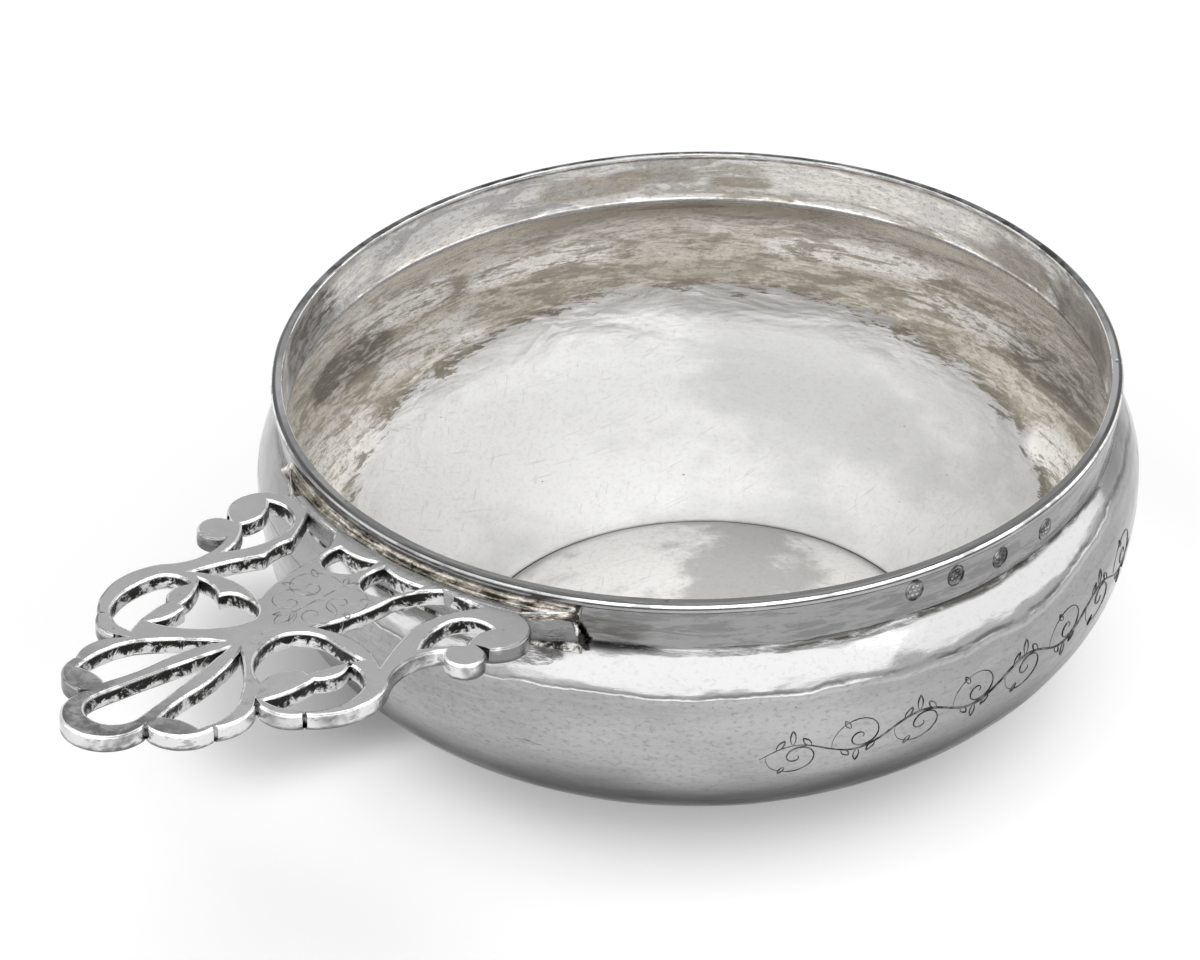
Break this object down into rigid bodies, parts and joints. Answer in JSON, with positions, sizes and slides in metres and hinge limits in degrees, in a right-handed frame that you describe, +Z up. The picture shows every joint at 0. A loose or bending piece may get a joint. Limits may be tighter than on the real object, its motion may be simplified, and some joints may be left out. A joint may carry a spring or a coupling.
{
  "type": "porringer",
  "caption": "Shallow bellied silver bowl with an upright collar, a flat lip, a domed floor and a flat pierced cast handle soldered on below the lip.",
  "frame": {"origin": "on the surface that the bowl stands on, under the middle of the whole object's length and width; the bowl's own axis is 31.2 mm along +X from it", "axes": "+Z up along the bowl's axis, the handle points along -X, +Y across the handle"},
  "size_m": [0.198, 0.1358, 0.0545],
  "materials": {
    "raised_silver": "hammered and polished silver, worn and lightly tarnished",
    "cast_silver": "cast silver, filed flat and polished on top, rough in the piercings",
    "solder": "rough grey silver solder"
  },
  "bodies": {
    "root": {"bowl": "raised_silver", "handle": "cast_silver", "solder_seam": "solder"}
  },
  "joints": []
}
